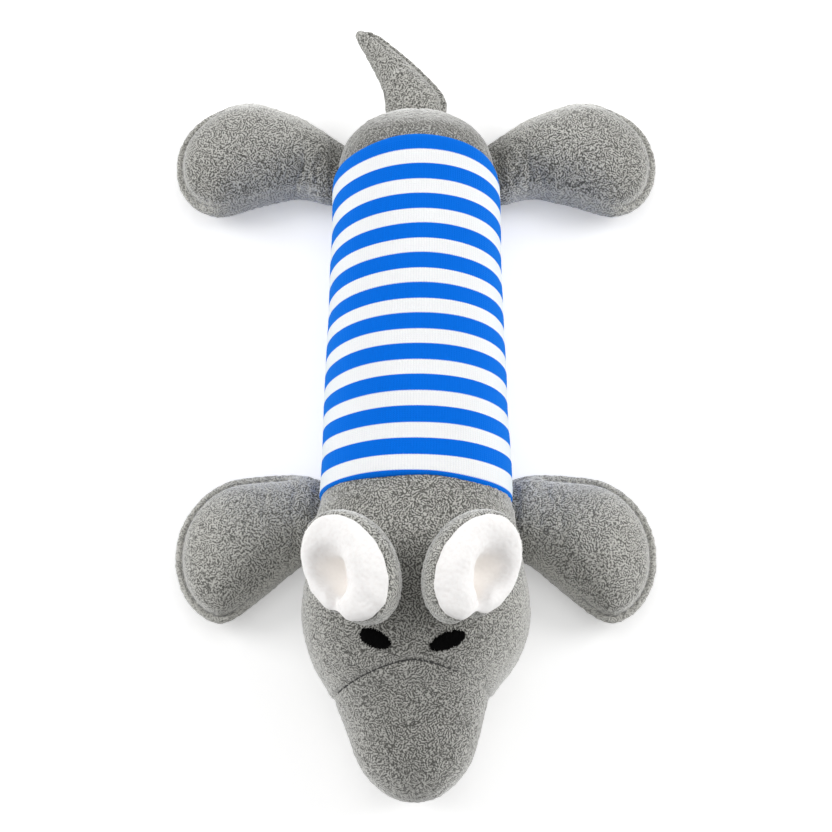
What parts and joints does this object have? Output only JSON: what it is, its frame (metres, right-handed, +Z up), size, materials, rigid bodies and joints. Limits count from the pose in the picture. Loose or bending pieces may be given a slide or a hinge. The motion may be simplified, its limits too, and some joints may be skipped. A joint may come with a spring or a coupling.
{
  "type": "squeaky dog toy",
  "caption": "Soft plush dog toy lying flat, with a striped knit body sleeve, paddle limbs, cupped ears, a curved tail and a squeaker in its stuffing.",
  "frame": {"origin": "on the floor under the middle of the footprint", "axes": "+Z up, +Y from the nose towards the tail, +X to the right as seen with the head towards the viewer"},
  "size_m": [0.1583, 0.2584, 0.0828],
  "materials": {
    "grey_plush": "short looped grey pile",
    "white_fleece": "fluffy white fleece",
    "striped_knit": "jersey knit in blue and white cross stripes",
    "stuffing": "loose polyester fibre",
    "dark_thread": "satin stitched thread",
    "squeaker_vinyl": "soft blown vinyl",
    "reed_plastic": "moulded, matt"
  },
  "bodies": {
    "torso": {"striped_sleeve": "striped_knit", "rump_panel_left": "grey_plush", "rump_panel_right": "grey_plush", "back_filling": "stuffing", "belly_filling": "stuffing", "squeaker_base": "squeaker_vinyl", "squeaker_bellows": "squeaker_vinyl", "squeaker_reed_plug": "reed_plastic", "squeaker_reed": "reed_plastic"},
    "squeaker_top": {"squeaker_crown": "squeaker_vinyl"},
    "head": {"forehead_panel": "grey_plush", "muzzle_panel": "grey_plush", "chin_panel": "grey_plush", "head_filling": "stuffing", "left_eye": "dark_thread", "right_eye": "dark_thread", "face_seam_thread": "dark_thread"},
    "left_ear": {"left_ear_back": "grey_plush", "left_ear_lining": "white_fleece"},
    "right_ear": {"right_ear_back": "grey_plush", "right_ear_lining": "white_fleece"},
    "front_left_limb": {"front_left_limb_upper_panel": "grey_plush", "front_left_limb_lower_panel": "grey_plush", "front_left_limb_filling": "stuffing"},
    "front_right_limb": {"front_right_limb_upper_panel": "grey_plush", "front_right_limb_lower_panel": "grey_plush", "front_right_limb_filling": "stuffing"},
    "rear_left_limb": {"rear_left_limb_upper_panel": "grey_plush", "rear_left_limb_lower_panel": "grey_plush", "rear_left_limb_filling": "stuffing"},
    "rear_right_limb": {"rear_right_limb_upper_panel": "grey_plush", "rear_right_limb_lower_panel": "grey_plush", "rear_right_limb_filling": "stuffing"},
    "tail": {"tail_upper_panel": "grey_plush", "tail_lower_panel": "grey_plush", "tail_filling": "stuffing"}
  },
  "joints": [
    {"name": "head_nod", "type": "hinge", "parent": "torso", "child": "head", "pos_m": [-0.00031, -0.04666, 0.027], "axis": [-1, 0, 0], "range_deg": [-8, 12], "stiffness_Nm_per_rad": 0.4},
    {"name": "left_ear_fold", "type": "hinge", "parent": "head", "child": "left_ear", "pos_m": [-0.0149, -0.06903, 0.05923], "axis": [0, -1, 0], "range_deg": [-8, 40], "stiffness_Nm_per_rad": 0.015},
    {"name": "right_ear_fold", "type": "hinge", "parent": "head", "child": "right_ear", "pos_m": [0.01162, -0.06905, 0.06002], "axis": [0, 1, 0], "range_deg": [-8, 40], "stiffness_Nm_per_rad": 0.015},
    {"name": "front_left_limb_flap", "type": "hinge", "parent": "head", "child": "front_left_limb", "pos_m": [-0.03213, -0.03816, 0.008], "axis": [0, 1, 0], "range_deg": [-55, 45], "stiffness_Nm_per_rad": 0.02},
    {"name": "front_right_limb_flap", "type": "hinge", "parent": "head", "child": "front_right_limb", "pos_m": [0.03151, -0.03816, 0.008], "axis": [0, -1, 0], "range_deg": [-55, 45], "stiffness_Nm_per_rad": 0.02},
    {"name": "rear_left_limb_flap", "type": "hinge", "parent": "torso", "child": "rear_left_limb", "pos_m": [-0.02819, 0.08084, 0.008], "axis": [0, 1, 0], "range_deg": [-60, 60], "stiffness_Nm_per_rad": 0.02},
    {"name": "rear_right_limb_flap", "type": "hinge", "parent": "torso", "child": "rear_right_limb", "pos_m": [0.02757, 0.08084, 0.008], "axis": [-0.0262, -0.9997, 0], "range_deg": [-60, 60], "stiffness_Nm_per_rad": 0.02},
    {"name": "tail_lift", "type": "hinge", "parent": "torso", "child": "tail", "pos_m": [-0.00031, 0.10484, 0.016], "axis": [1, 0, 0], "range_deg": [-45, 75], "stiffness_Nm_per_rad": 0.02},
    {"name": "squeaker_press", "type": "slide", "parent": "torso", "child": "squeaker_top", "axis": [0, 0, -1], "range_m": [0, 0.008], "stiffness_N_per_m": 900, "deforming": ["squeaker_bellows"]}
  ]
}
